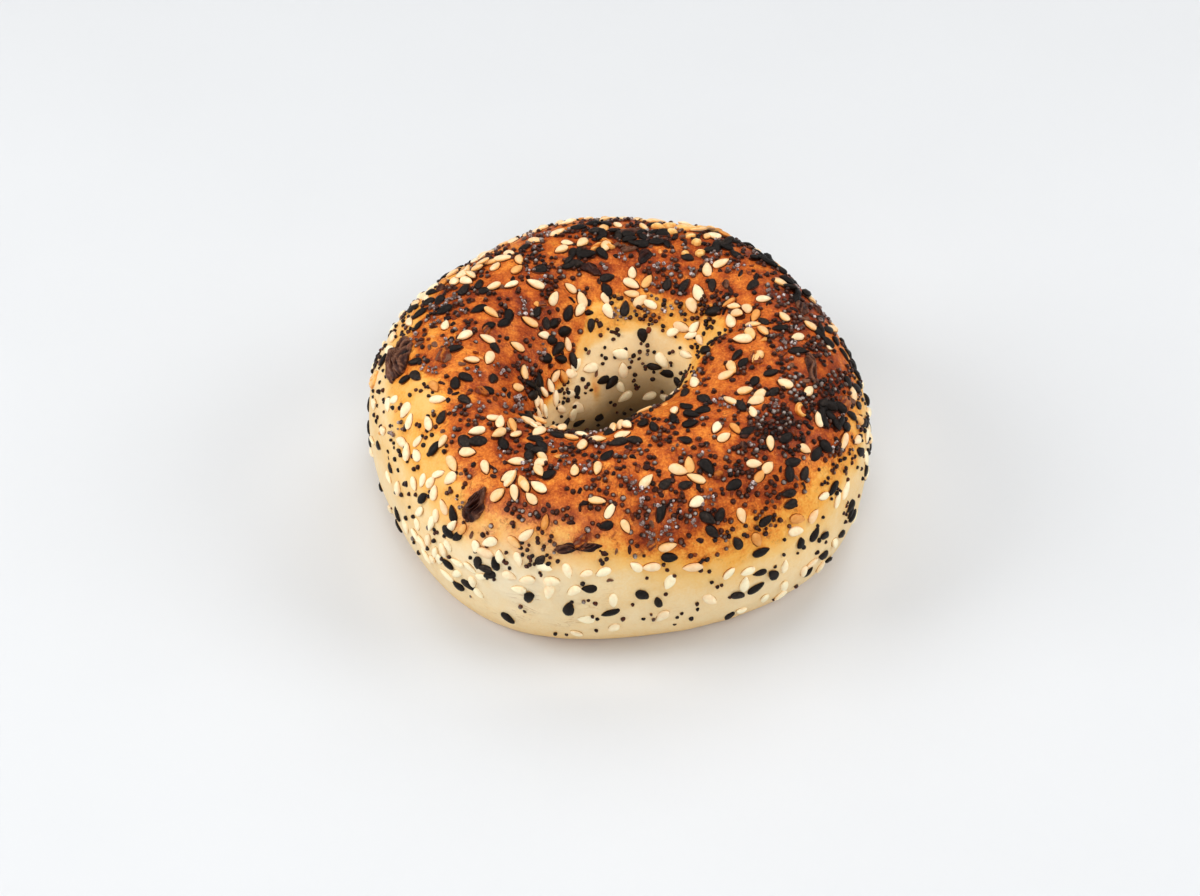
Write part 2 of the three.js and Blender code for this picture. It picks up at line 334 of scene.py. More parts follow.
# ---------------- where toppings lie
# Patches: around, over, spread around, spread over, and the factor at the middle.
WHITE_PATCHES = (
    (230, 110, 12, 14, 2.4), (244, 66, 16, 14, 2.6), (262, 58, 10, 12, 1.9),
    (125, 64, 26, 13, 2.2), (160, 86, 22, 12, 1.8), (10, 104, 14, 10, 2.0),
    (334, 92, 8, 8, 2.6), (2, 60, 9, 9, 2.0), (62, 66, 10, 12, 1.8), (278, 112, 9, 12, 2.4),
    (216, 42, 12, 14, 2.2), (236, 22, 30, 22, 2.8), (252, 6, 16, 16, 1.6),
    (330, 92, 10, 10, 2.0), (345, 20, 18, 14, 2.0), (0, 55, 12, 12, 1.8), (45, 48, 10, 10, 2.2),
    (108, 46, 50, 8, 2.8), (226, 106, 10, 8, 2.0), (272, 119, 9, 8, 2.4),
    (210, 84, 12, 14, 0.2), (192, 54, 10, 10, 0.4), (330, 76, 8, 7, 0.4), (128, 47, 30, 8, 2.0),
    (218, 28, 16, 16, 1.8), (115, 160, 60, 14, 1.5), (203, 88, 16, 18, 0.15),
    (192, 76, 12, 9, 0.3), (296, 90, 16, 18, 0.25), (142, 115, 14, 12, 0.3),
    (35, 55, 26, 14, 0.4), (195, 10, 22, 26, 0.5), (330, 10, 24, 22, 0.7),
)
BLACK_PATCHES = (
    (30, 55, 28, 12, 1.6), (328, 52, 16, 12, 3.2), (356, 74, 12, 12, 1.4),
    (90, 45, 12, 7, 0.25), (350, 98, 8, 8, 1.4), (84, 76, 13, 11, 3.8), (120, 104, 9, 16, 0.35),
    (134, 106, 9, 8, 0.5), (75, 90, 8, 7, 1.5), (160, 140, 36, 8, 0.9), (2, 29, 12, 8, 3.4),
    (75, 47, 12, 8, 0.2), (208, 104, 10, 10, 1.5), (195, 84, 9, 14, 0.5), (168, 46, 8, 8, 2.0),
    (64, 168, 16, 14, 0.3), (110, 152, 12, 10, 2.0), (245, 122, 12, 8, 2.2),
    (228, 22, 14, 16, 2.2), (182, 97, 8, 12, 2.4), (348, 36, 14, 12, 2.4),
    (172, 26, 12, 26, 1.5), (195, 20, 14, 34, 0.3), (172, 76, 10, 10, 0.4),
    (250, 55, 18, 12, 0.4), (304, 78, 12, 14, 0.3), (5, 108, 12, 8, 0.3),
    (265, 10, 14, 20, 0.6), (80, 160, 34, 18, 0.45), (200, 120, 14, 9, 0.3),
    (172, 120, 18, 8, 0.3), (122, 114, 12, 9, 0.35), (65, 128, 14, 12, 0.35),
    (345, 132, 12, 10, 0.2), (25, 105, 14, 10, 0.35), (60, 100, 12, 8, 0.6),
    (238, 86, 10, 9, 0.25), (244, 106, 12, 9, 0.12), (315, 58, 9, 8, 0.6), (46, 60, 8, 8, 0.6),
    (0, 44, 8, 8, 0.5), (300, 58, 12, 14, 0.35), (270, 44, 9, 8, 0.35), (38, 44, 17, 7, 0.25),
    (66, 45, 16, 8, 0.2), (90, 106, 11, 9, 0.15), (300, 120, 14, 12, 0.5),
    (120, 112, 14, 12, 0.3), (206, 120, 14, 9, 0.4), (0, 104, 10, 8, 0.3), (60, 75, 9, 7, 0.6),
)
POPPY_PATCHES = (
    (281, 56, 11, 17, 2.5), (326, 64, 17, 18, 4.0), (90, 106, 12, 9, 0.5), (90, 45, 14, 7, 0.4),
    (345, 98, 10, 12, 2.0), (300, 104, 8, 8, 2.2), (255, 104, 9, 8, 1.8), (270, 90, 8, 8, 0.5),
    (210, 76, 8, 8, 1.6), (40, 56, 38, 15, 2.0), (84, 80, 14, 14, 3.6), (342, 68, 12, 12, 1.6),
    (258, 112, 14, 8, 1.4), (176, 120, 22, 9, 0.15), (300, 50, 10, 18, 0.35),
    (270, 44, 9, 9, 0.35), (205, 112, 26, 16, 1.8), (145, 122, 26, 18, 2.0),
    (70, 106, 34, 14, 1.3), (5, 78, 12, 14, 1.6), (112, 94, 14, 10, 1.2),
    (120, 112, 12, 12, 0.3), (0, 104, 10, 8, 0.5), (45, 45, 12, 7, 0.5), (192, 98, 14, 24, 0.4),
    (242, 106, 12, 9, 0.3), (30, 46, 12, 8, 0.4), (315, 58, 9, 8, 0.6), (0, 46, 9, 8, 0.4),
    (66, 46, 16, 8, 0.3), (75, 90, 8, 8, 1.4), (15, 78, 8, 8, 1.8), (130, 121, 14, 7, 0.4),
    (338, 82, 10, 12, 1.6), (198, 50, 9, 6, 1.8), (195, 15, 20, 30, 0.4), (197, 0, 12, 14, 0.3),
    (174, 10, 12, 22, 0.5), (345, 130, 12, 12, 0.4), (240, 86, 12, 12, 0.5),
    (262, 14, 16, 22, 0.5), (310, 98, 12, 14, 0.4), (174, 76, 10, 12, 0.4),
    (135, 70, 24, 14, 1.5), (230, 72, 12, 14, 0.5), (110, 166, 75, 16, 2.6),
    (238, 20, 16, 12, 2.0), (66, 160, 14, 12, 1.6),
)
GRAIN_PATCHES = (
    (283, 56, 13, 15, 9.0), (84, 74, 12, 10, 8.0), (326, 66, 15, 16, 12.0),
    (5, 74, 16, 12, 8.0), (112, 98, 20, 12, 4.0), (195, 97, 22, 12, 1.5), (60, 85, 26, 14, 5.0),
    (248, 100, 16, 10, 5.0), (140, 78, 24, 14, 3.0),
)


def density(base, patches, around, over):
    total = base(over)
    for row in patches:
        total = total * (1 + (row[4] - 1) * patch(around, over, row))
    return total


def cover(top, wall, foot):
    """A density over the section: on the top, on the walls and near the foot."""

    def at(over):
        sine = np.sin(np.radians(over))
        upper = wall + (top - wall) * smooth_step(0.1, 0.6, sine)
        return foot + (upper - foot) * smooth_step(-0.45, -0.1, sine)

    return at


# Kinds of sesame: number, cover and patches.
SESAME = dict(
    white=(430, cover(1.0, 0.9, 0.15), WHITE_PATCHES),
    black=(335, cover(1.0, 0.75, 0.15), BLACK_PATCHES),
)
POPPY_COVER = cover(1.0, 0.3, 0.06)
GRAIN_COVER = cover(0.4, 0.0, 0.0)
SCATTERED_OVER = (-34, 214)
BATCH = 4000
SPOT_TRIES = 12


def clumps(points, cell, seed, low):
    """A factor from low to 1 that comes and goes over a cell's length."""
    return low + (1 - low) * smooth_step(-0.15, 0.45, lattice_noise(points, cell, seed))


class Places:
    """Spots on the crust that are taken, each with the radius that it keeps clear."""

    def __init__(self):
        self.points = np.zeros((0, 3))
        self.radii = np.zeros(0)

    def add(self, point, radius):
        self.points = np.vstack([self.points, point])
        self.radii = np.append(self.radii, radius)

    def clear(self, point, radius):
        if not len(self.points):
            return True
        apart = np.linalg.norm(self.points - point, axis=1)
        return bool((apart > self.radii + radius).all())


def scatter(rng, count, weight, radius, taken):
    """Draws places by area and weight, each clear of those already taken."""
    found = []
    while len(found) < count:
        around = rng.uniform(0, 360, BATCH)
        over = rng.uniform(*SCATTERED_OVER, BATCH)
        frames = crust_frame(np.radians(around), np.radians(over))
        chance = frames.area * weight(around, over, frames.place)
        keep = rng.uniform(0, chance.max(), BATCH) < chance
        for i in np.flatnonzero(keep):
            if len(found) < count and taken.clear(frames.place[i], radius):
                taken.add(frames.place[i], radius)
                found.append((around[i], over[i]))
    return spots_of(found)


def near_spots(rng, around, over, reach, count, apart=0.0):
    """Places within a reach of one place on the crust, most of them in its middle."""
    ways = slopes(math.radians(around), math.radians(over))
    found = []
    for _ in range(SPOT_TRIES * count):
        angle, distance = rng.uniform(0, 2 * math.pi), reach * rng.uniform(0.1, 1) ** 0.7
        spot = np.array([distance * math.cos(angle), distance * math.sin(angle)])
        if len(found) < count and all(np.linalg.norm(spot - other) > apart for other in found):
            found.append(spot)
    return np.degrees(np.array(found) / np.linalg.norm(ways, axis=1)) + (around, over)


def random_turns(rng, count):
    return [rng.uniform(0, 2 * math.pi, count) for _ in range(3)]


# ---------------- meshes
def grid_faces(rings, sides, closed_rings=False):
    """Quads of a grid of rings, each ring closed on itself."""
    last = rings if closed_rings else rings - 1
    ring, side = np.meshgrid(np.arange(last), np.arange(sides), indexing="ij")
    below, above = ring * sides, (ring + 1) % rings * sides
    beside = (side + 1) % sides
    quads = [below + side, below + beside, above + beside, above + side]
    return np.stack(quads, axis=-1).reshape(-1, 4)


def drop_shape(rings, sides, tip_power, round_power, thick_power):
    """A drop of length, width and thickness 2 whose tip points along +X."""
    turn = np.linspace(0, math.pi, rings + 2)[1:-1]
    along = -np.cos(turn)
    wide = (1 - along) ** tip_power * (1 + along) ** round_power
    thick = (1 - along) ** thick_power * (1 + along) ** round_power
    wide, thick = wide / wide.max(), thick / thick.max()
    angle = np.arange(sides) * 2 * math.pi / sides
    x = np.repeat(along, sides)
    y = np.outer(wide, np.cos(angle)).ravel()
    z = np.outer(thick, np.sin(angle)).ravel()
    points = np.vstack([np.stack([x, y, z], axis=1), [[-1, 0, 0], [1, 0, 0]]])
    return points, drop_faces(rings, sides)


def drop_faces(rings, sides):
    """Triangles of a closed form of rings with a point at each end."""
    quads = grid_faces(rings, sides)
    sides_split = np.vstack([quads[:, [0, 2, 1]], quads[:, [0, 3, 2]]])
    side = np.arange(sides)
    beside = (side + 1) % sides
    first, last = rings * sides, rings * sides + 1
    start = np.stack([np.full(sides, first), side, beside], axis=1)
    top = (rings - 1) * sides
    end = np.stack([np.full(sides, last), top + beside, top + side], axis=1)
    return np.vstack([sides_split, start, end])


def swung(first, second, angle):
    """Two directions at right angles, turned by angles in their plane."""
    angle = np.atleast_1d(angle)[:, None]
    cos, sin = np.cos(angle), np.sin(angle)
    return first * cos + second * sin, second * cos - first * sin


def rotations(frames, turn, roll=0, pitch=0):
    """Matrices whose columns are a small thing's length, width and upward directions."""
    length, _ = swung(frames.along, frames.across, turn)
    width, up = swung(np.cross(frames.out, length), frames.out, roll)
    length, up = swung(length, up, pitch)
    return np.stack([length, width, up], axis=2)


def copied_faces(faces, copies, points):
    """Faces of copies of a shape that has a number of points."""
    offsets = np.arange(copies) * points
    return (faces[None] + offsets[:, None, None]).reshape(-1, faces.shape[1])


def draped_copies(shape, faces, spots, matrices, sizes):
    """Copies of a flat shape, each sized, turned and bent to the crust under it."""
    around, over = np.radians(spots.around), np.radians(spots.over)
    sized = shape[None] * sizes[:, None, :]
    flat = np.einsum("nij,nvj->nvi", matrices, sized * np.array([1, 1, 0]))
    by_turn, by_rise = slopes(around, over)
    basis = np.stack([by_turn, by_rise, unit(np.cross(by_turn, by_rise))], axis=2)
    moved = np.einsum("nij,nvj->nvi", np.linalg.inv(basis), flat)
    turned = (around[:, None] + moved[..., 0]).ravel()
    risen = (over[:, None] + moved[..., 1]).ravel()
    ground = dressed_frame(turned, risen)
    points = ground.place + ground.out * sized[..., 2].reshape(-1, 1)
    return points, copied_faces(faces, len(around), len(shape))


def joined_copies(shape, faces, matrices, centres, sizes):
    """One mesh of many copies of a shape, each sized, turned and moved."""
    sized = shape[None] * sizes[:, None, :]
    points = np.einsum("nij,nvj->nvi", matrices, sized) + centres[:, None, :]
    return points.reshape(-1, 3), copied_faces(faces, len(centres), len(shape))


# No point of a topping is lower than this.
LOWEST = 0.05


def roughened(points, height, cell):
    """Points moved a little each way by noise, and kept above the floor."""
    moves = [lattice_noise(points, cell, seed) for seed in (51, 52, 53)]
    moved = points + height * np.stack(moves, axis=1)
    moved[:, 2] = np.maximum(moved[:, 2], LOWEST)
    return moved


def add_object(name, data):
    thing = bpy.data.objects.new(name, data)
    bpy.context.scene.collection.objects.link(thing)
    return thing


def add_piece(name, points, faces, material, values, smooth=True):
    """A piece that rides on the bagel, with values at its points for the material."""
    mesh = bpy.data.meshes.new(name)
    mesh.from_pydata((points * MM).tolist(), [], faces.tolist())
    if smooth:
        mesh.shade_smooth()
    mesh.materials.append(material)
    for key, numbers in values.items():
        attribute = mesh.attributes.new(key, "FLOAT", "POINT")
        attribute.data.foreach_set("value", np.ravel(numbers).astype(np.float32))
    piece = add_object(name, mesh)
    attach(piece, BODY)
    return piece


# ---------------- the crust's browning
# Each curve gives the angle over the section at which a colour starts or ends.
GOLDEN_FROM = (
    (0, 21), (60, 12), (120, 12), (145, 34), (165, 38), (182, 40), (198, 38), (213, 28), (230, 22),
    (245, 26), (262, 24), (276, 17), (290, 15), (305, 15), (325, 20), (345, 23),
)
BROWN_FROM = (
    (0, 39), (30, 38), (60, 40), (90, 46), (130, 54), (160, 56), (172, 58), (184, 62),
    (193, 70), (202, 72), (210, 64), (220, 56), (232, 49), (245, 46), (262, 38), (275, 30),
    (290, 30), (305, 35), (325, 39), (345, 40),
)
BROWN_TO = (
    (0, 130), (10, 126), (20, 118), (30, 120), (45, 122), (60, 122), (75, 119), (90, 120),
    (105, 123), (120, 138), (135, 148), (180, 152), (215, 152), (250, 150), (300, 150),
    (330, 143), (345, 136),
)
GOLDEN_TO = (
    (0, 165), (20, 158), (30, 152), (45, 147), (75, 142), (110, 145), (125, 151), (150, 155),
    (180, 158), (215, 160), (300, 170), (345, 170),
)
GOLDEN_FADES, BROWN_FADES = ((-9, 9), (-4, 5)), ((-7, 8), (-4, 4))
SIDE_LEVEL, GOLDEN_LEVEL, BROWN_LEVEL = 0.11, 0.32, 0.57
# Layers of noise: height, cell and seed.
WOBBLES = ((4.0, 10.0, 3), (3.4, 3.6, 4), (2.2, 1.5, 8))
MOTTLES = ((0.07, 7.0, 5), (0.08, 2.6, 6))
PALE_MOTTLES = ((0.02, 4.0, 9),)
DIMPLES = ((0.12, 6.5, 11), (0.06, 2.6, 12))
# The foot browns where it nears the tray: value added, and where that starts and ends.
FOOT_BROWNING = ((0.07, -26, -42), (0.1, -42, -52))
BLISTER_HEIGHT = 0.2
WRINKLE_HEIGHT, WRINKLE_STRETCH = 0.22, np.array([0.35, 0.35, 1.6])
# Soft patches that are browner or paler, floury, or wrinkled, with the value added.
BROWNING_PATCHES = (
    (142, 106, 26, 18, 0.03), (124, 107, 16, 12, -0.06), (270, 101, 12, 8, -0.03),
    (95, 94, 16, 10, 0.05), (60, 95, 24, 12, -0.03), (45, 85, 40, 18, 0.03),
    (20, 52, 40, 20, 0.08), (326, 68, 13, 14, 0.12), (283, 40, 12, 12, 0.04),
    # The small patch at 184, 57 browns the crust beside the raisin flake, partly a burn and partly
    # its painted shadow.
    (293, 54, 14, 10, -0.05), (288, 8, 12, 14, 0.05), (184, 57, 3, 5, 0.25),
    (250, 110, 24, 14, 0.04), (190, 130, 24, 16, 0.08), (190, 106, 16, 12, 0.04),
    (192, 86, 14, 12, -0.04), (205, 66, 12, 9, -0.05), (174, 76, 12, 10, -0.08),
    (305, 102, 16, 14, -0.06), (116, 168, 6, 7, 0.34), (235, 72, 16, 12, -0.05),
    (332, 128, 16, 12, -0.08), (150, 128, 14, 8, -0.05), (15, 132, 14, 14, -0.08),
    (60, 112, 22, 8, -0.04), (222, 47, 16, 7, -0.04), (200, 12, 20, 18, 0.09),
    (310, 10, 30, 18, 0.07), (285, 24, 16, 8, 0.04), (20, 5, 40, 25, 0.04),
    (100, 5, 50, 25, 0.05),
)
FLOURY_PATCHES = (
    (246, 10, 15, 24, 0.9), (205, -12, 20, 14, 0.3), (300, -14, 40, 12, 0.25),
    (100, 165, 40, 14, 0.35),
)
WRINKLED_PATCHES = (
    (252, -10, 26, 16, 1.0), (150, 172, 50, 18, 0.8), (60, -12, 60, 14, 0.7),
)


def around_curve(points, around):
    angles, values = zip(*points)
    return np.interp(around, angles, values, period=360)


def patched(patches, around, over):
    total = np.zeros(np.shape(around))
    for row in patches:
        total = total + row[4] * patch(around, over, row)
    return total


def band(past, around, start, end, fade_in, fade_out):
    """1 between two curves over the section, with soft edges."""
    inside = smooth_step(*fade_in, past - around_curve(start, around))
    return inside * smooth_step(*fade_out, around_curve(end, around) - past)


def browning_of(around, over, points):
    """0 is pale cream, 0.32 golden, 0.57 orange brown and 1 nearly black."""
    past = over + layered_noise(points, WOBBLES)
    golden = band(past, around, GOLDEN_FROM, GOLDEN_TO, *GOLDEN_FADES)
    brown = band(past, around, BROWN_FROM, BROWN_TO, *BROWN_FADES)
    value = SIDE_LEVEL + (GOLDEN_LEVEL - SIDE_LEVEL) * golden
    value = value + (BROWN_LEVEL - GOLDEN_LEVEL) * brown
    value = value + patched(BROWNING_PATCHES, around, over)
    value = value + layered_noise(points, MOTTLES) * np.maximum(brown, 0.45 * golden)
    value = value + layered_noise(points, PALE_MOTTLES)
    for added, start, end in FOOT_BROWNING:
        value = value + added * smooth_step(start, end, over)
    return np.clip(value, 0, 1)


def fine_relief(around, over, points, browning):
    """Millimetres that the crust stands out: dimples, blisters and wrinkled skin."""
    blister = smooth_step(0.45, 0.85, lattice_noise(points, 2.3, 13))
    blister = BLISTER_HEIGHT * blister * smooth_step(0.4, 0.6, browning)
    skin = WRINKLE_HEIGHT * patched(WRINKLED_PATCHES, around, over)
    skin = skin * np.abs(lattice_noise(points * WRINKLE_STRETCH, 1.5, 14))
    return (layered_noise(points, DIMPLES) + blister + skin) * smooth_step(0, 2.5, points[:, 2])


def dressed_frame(around, over):
    """The crust's frame at angles in radians, with its place on the finely shaped crust."""
    frames = crust_frame(around, over)
    at = np.degrees(around), np.degrees(over), frames.place
    frames.browning = browning_of(*at)
    relief = fine_relief(*at, frames.browning)
    frames.place = frames.place + frames.out * relief[:, None]
    return frames


def frames_of(spots):
    return dressed_frame(np.radians(spots.around), np.radians(spots.over))


# Painted shade: the crust's colour darkens deep in the hole, between two angles over the section
# and sooner on one side, where the hole lies in shade.
PAINTED_SHADE_FROM, PAINTED_SHADE_TO, PAINTED_SHADE_SOONER = 166, 204, 26
PAINTED_SHADE_SIDE = (62, 170, 40, 34)
STAIN_REACH, STAIN_SINK = 1.8, 0.1
PIT_CELL, PIT_DEPTH = 3.0, 0.25


def stain_of(points, spots):
    """How much caramelised juice lies round the toppings, from 0 to 1; round the flakes it is
    partly painted shadow.
    """
    tree = KDTree(len(points))
    for index, point in enumerate(points.tolist()):
        tree.insert(point, index)
    tree.balance()
    total = np.zeros(len(points))
    for place, strength in spots:
        for _, index, distance in tree.find_range(place, STAIN_REACH):
            total[index] += strength * (1 - distance / STAIN_REACH)
    return 1 - np.exp(-total)


def bread_mesh(stains):
    """The bread's points, faces and values: its crust, and its base with shallow pits."""
    span = math.radians(180 + 2 * BASE_EDGE_OVER)
    over = np.linspace(0, span, STEPS_OVER + 1) - math.radians(BASE_EDGE_OVER)
    around = np.arange(STEPS_AROUND) * 2 * math.pi / STEPS_AROUND
    over, around = (grid.ravel() for grid in np.meshgrid(over, around, indexing="ij"))
    frames = dressed_frame(around, over)
    around, over = np.degrees(around), np.degrees(over)
    stain = stain_of(frames.place, stains)
    points = frames.place - frames.out * (STAIN_SINK * stain)[:, None]
    rich = smooth_step(0.2, 0.5, frames.browning)
    painted_shade_from = PAINTED_SHADE_FROM - PAINTED_SHADE_SOONER * patch(around, over, PAINTED_SHADE_SIDE)
    values = dict(
        browning=np.clip(frames.browning + stain * (0.02 + 0.18 * rich), 0, 1),
        stain=stain,
        floury=np.clip(patched(FLOURY_PATCHES, around, over), 0, 1),
        # depth: painted shade, how far the wall's colour darkens deep in the hole
        depth=smooth_step(painted_shade_from, PAINTED_SHADE_TO, over),
        wrinkled=np.clip(patched(WRINKLED_PATCHES, around, over), 0, 1),
    )
    points[:, 2] = np.maximum(points[:, 2], 0)
    rings = points.reshape(STEPS_OVER + 1, STEPS_AROUND, 3)
    rings[[0, -1], :, 2] = 0
    share = np.linspace(1, 0, STEPS_BASE + 1)[1:-1, None, None]
    flat = (rings[0] * (1 - share) + rings[-1] * share).reshape(-1, 3)
    pits = np.maximum(lattice_noise(flat, PIT_CELL, 15), 0) * PIT_DEPTH
    flat[:, 2] = pits * np.sin(np.repeat(share.ravel(), STEPS_AROUND) * math.pi)
    under = dict(browning=0.34 + 0.1 * lattice_noise(flat, 5.0, 16))
    for name in values:
        values[name] = np.append(values[name], under.get(name, np.zeros(len(flat))))
    faces = grid_faces(STEPS_OVER + STEPS_BASE, STEPS_AROUND, closed_rings=True)
    return np.vstack([points, flat]), faces, values


# ---------------- material helpers
def linear(red, green, blue):
    """A colour given by its 0 to 255 display values."""
    shares = (red / 255, green / 255, blue / 255)
    values = [s / 12.92 if s <= 0.04045 else ((s + 0.055) / 1.055) ** 2.4 for s in shares]
    return (*values, 1.0)


class Nodes:
    """A material's node tree, with short calls for the nodes used here."""

    def __init__(self, name):
        self.material = bpy.data.materials.new(name)
        self.material.use_nodes = True
        self.tree = self.material.node_tree
        self.shader = self.tree.nodes["Principled BSDF"]
        self.place = self.node("TexCoord", "Object", {})

    def link(self, value, socket):
        if isinstance(value, bpy.types.NodeSocket):
            self.tree.links.new(value, socket)
        else:
            socket.default_value = value

    def node(self, kind, output, inputs, **settings):
        """Adds a node with settings, and values or links for its inputs; gives an output."""
        node = self.tree.nodes.new("ShaderNode" + kind)
        for name, value in settings.items():
            setattr(node, name, value)
        for socket, value in inputs.items():
            self.link(value, node.inputs[socket])
        return node.outputs[output]

    def attribute(self, name):
        return self.node("Attribute", "Fac", {}, attribute_name=name)

    def stretched(self, shares):
        return self.node("Mapping", "Vector", {"Vector": self.place, "Scale": shares})

    def noise(self, size, detail=2.0, rough=0.5, distortion=0.0, place=None):
        inputs = {"Vector": place or self.place, "Scale": 1 / (size * MM), "Detail": detail}
        inputs.update({"Roughness": rough, "Distortion": distortion})
        return self.node("TexNoise", "Fac", inputs)

    def cells(self, size):
        inputs = {"Vector": self.place, "Scale": 1 / (size * MM)}
        return self.node("TexVoronoi", "Distance", inputs, feature="F1")

    def math(self, operation, first, second=0.0):
        return self.node("Math", 0, {0: first, 1: second}, operation=operation)

    def plus(self, first, second):
        return self.math("ADD", first, second)

    def times(self, first, second):
        return self.math("MULTIPLY", first, second)

    def uneven(self, share, *noise):
        """Noise about 0, times a share."""
        return self.times(self.math("SUBTRACT", self.noise(*noise), 0.5), share)

    def spread(self, value, low, high, to_low=0.0, to_high=1.0):
        inputs = {"Value": value, "From Min": low, "From Max": high}
        inputs.update({"To Min": to_low, "To Max": to_high})
        return self.node("MapRange", "Result", inputs, interpolation_type="SMOOTHSTEP")

    def ramp(self, value, stops):
        """A colour by rows of position, red, green and blue."""
        node = self.tree.nodes.new("ShaderNodeValToRGB")
        elements = node.color_ramp.elements
        while len(elements) < len(stops):
            elements.new(0.5)
        for element, (position, *colour) in zip(elements, stops):
            element.position = position
            element.color = linear(*colour)
        self.link(value, node.inputs["Fac"])
        return node.outputs["Color"]

    def tinted(self, stops, share, *noise):
        """A colour by each point's tint, made uneven by a share of noise."""
        return self.ramp(self.plus(self.attribute("tint"), self.uneven(share, *noise)), stops)

    def mix(self, share, first, second):
        return self.node("Mix", 2, {"Factor": share, 6: first, 7: second}, data_type="RGBA")

    def bump(self, height, distance, strength, below=None):
        inputs = {"Height": height, "Distance": distance * MM, "Strength": strength}
        if below is not None:
            inputs["Normal"] = below
        return self.node("Bump", "Normal", inputs)

    def set(self, colour, roughness, specular, normal=None):
        self.link(colour, self.shader.inputs["Base Color"])
        self.link(roughness, self.shader.inputs["Roughness"])
        self.link(specular, self.shader.inputs["Specular IOR Level"])
        if normal is not None:
            self.link(normal, self.shader.inputs["Normal"])
        return self.material


# ---------------- materials
# Colours: position from 0 to 1, then red, green and blue from 0 to 255.
CRUST_COLOURS = (
    (0.0, 246, 226, 188), (0.1, 243, 215, 164), (0.22, 240, 194, 118), (0.34, 238, 170, 72),
    (0.46, 225, 133, 45), (0.58, 197, 98, 28), (0.7, 162, 66, 12), (0.84, 106, 36, 6),
    (1.0, 48, 14, 3),
)
# Caramelised crust round the seeds, made darker as painted contact shadow.
RIM_AND_SHADOW_COLOURS = (
    (0.0, 226, 194, 142), (0.16, 214, 172, 108), (0.34, 180, 104, 34), (0.5, 112, 46, 10),
    (0.75, 54, 18, 5), (1.0, 26, 9, 4),
)
WHITE_COLOURS = (
    (0.0, 254, 241, 202), (0.22, 248, 211, 164), (0.5, 240, 182, 108), (0.8, 216, 136, 56),
    (1.0, 162, 84, 26),
)
BLACK_COLOURS = ((0.0, 13, 9, 7), (0.45, 27, 20, 16), (0.75, 46, 37, 31), (1.0, 84, 70, 60))
POPPY_COLOURS = (
    (0.0, 12, 6, 4), (0.3, 32, 15, 9), (0.55, 82, 34, 14), (0.75, 92, 76, 66),
    (1.0, 168, 156, 148),
)
FLAKE_COLOURS = (
    (0.0, 22, 6, 3), (0.12, 50, 18, 8), (0.22, 80, 45, 29), (0.33, 122, 82, 60),
    (0.43, 104, 34, 9), (0.64, 212, 120, 38), (0.82, 242, 184, 102), (1.0, 250, 224, 172),
)
# Grey and brown grains, up to near white for painted glints.
CRYSTAL_AND_GLINT_COLOURS = (
    (0.0, 70, 44, 32), (0.4, 110, 84, 74), (0.7, 156, 134, 128), (1.0, 240, 226, 222),
)
FLOUR_COLOURS = linear(236, 220, 186), linear(248, 236, 208)
SPECK_COLOUR = linear(236, 150, 66)
BURN_COLOUR = linear(112, 32, 6)
# Painted shade deep in the hole: dark olive browns.
PAINTED_SHADE_COLOURS = linear(72, 50, 23), linear(100, 73, 36)
WRINKLE_COLOUR = linear(190, 136, 74)
FLOOR_COLOURS = linear(213, 215, 217), linear(217, 219, 221)


def wrinkle_lines(nodes):
    """Fine lines that run round the crust where it is wrinkled."""
    line = nodes.noise(3.4, 2.0, 0.5, 1.4, nodes.stretched((0.5, 0.5, 2.2)))
    line = nodes.math("ABSOLUTE", nodes.math("SUBTRACT", line, 0.5))
    line = nodes.spread(line, 0.004, 0.022, 1.0, 0.0)
    line = nodes.times(line, nodes.spread(nodes.noise(6.0), 0.5, 0.62))
    return nodes.times(line, nodes.attribute("wrinkled"))


def crust_colour(nodes, line):
    """Cream to nearly black, then flour, pale specks, burns, painted shade on the deep wall, and
    wrinkles.
    """
    browning = nodes.attribute("browning")
    rich = nodes.spread(browning, 0.24, 0.5)
    uneven = nodes.plus(nodes.uneven(0.34, 1.9, 3.0, 0.6), nodes.uneven(0.42, 0.5, 3.0, 0.65))
    strength = nodes.plus(nodes.times(rich, 0.85), 0.26)
    colour = nodes.ramp(nodes.plus(browning, nodes.times(uneven, strength)), CRUST_COLOURS)
    flour = nodes.spread(nodes.noise(3.0, 3.0), 0.3, 0.6, 0.45, 0.9)
    flour = nodes.times(nodes.attribute("floury"), flour)
    colour = nodes.mix(flour, colour, nodes.mix(nodes.noise(2.4), *FLOUR_COLOURS))
    speck = nodes.spread(nodes.noise(0.42, 2.0, 0.6), 0.6, 0.72)
    colour = nodes.mix(nodes.times(speck, nodes.times(rich, 0.5)), colour, SPECK_COLOUR)
    juice = nodes.times(nodes.attribute("stain"), 0.16)
    burn = nodes.spread(nodes.plus(nodes.noise(1.1, 3.0, 0.65, 0.6), juice), 0.56, 0.7)
    colour = nodes.mix(nodes.times(burn, nodes.times(rich, 0.62)), colour, BURN_COLOUR)
    # Painted shade: the deep wall's colour darkens towards dark olive brown.
    painted_shade = nodes.times(nodes.attribute("depth"), 0.9)
    colour = nodes.mix(painted_shade, colour, nodes.mix(nodes.noise(3.0), *PAINTED_SHADE_COLOURS))
    return nodes.mix(nodes.times(line, 0.6), colour, WRINKLE_COLOUR)


def crust_material():
    nodes = Nodes("bread_crust")
    line = wrinkle_lines(nodes)
    pits = nodes.bump(nodes.noise(0.45, 3.0, 0.6), 0.1, 0.7)
    folds = nodes.bump(nodes.math("SUBTRACT", 1.0, line), 0.12, 0.6, pits)
    rough = nodes.spread(nodes.noise(1.5), 0.3, 0.7, 0.4, 0.6)
    normal = nodes.bump(nodes.noise(1.4), 0.18, 0.5, folds)
    return nodes.set(crust_colour(nodes, line), rough, 0.18, normal)


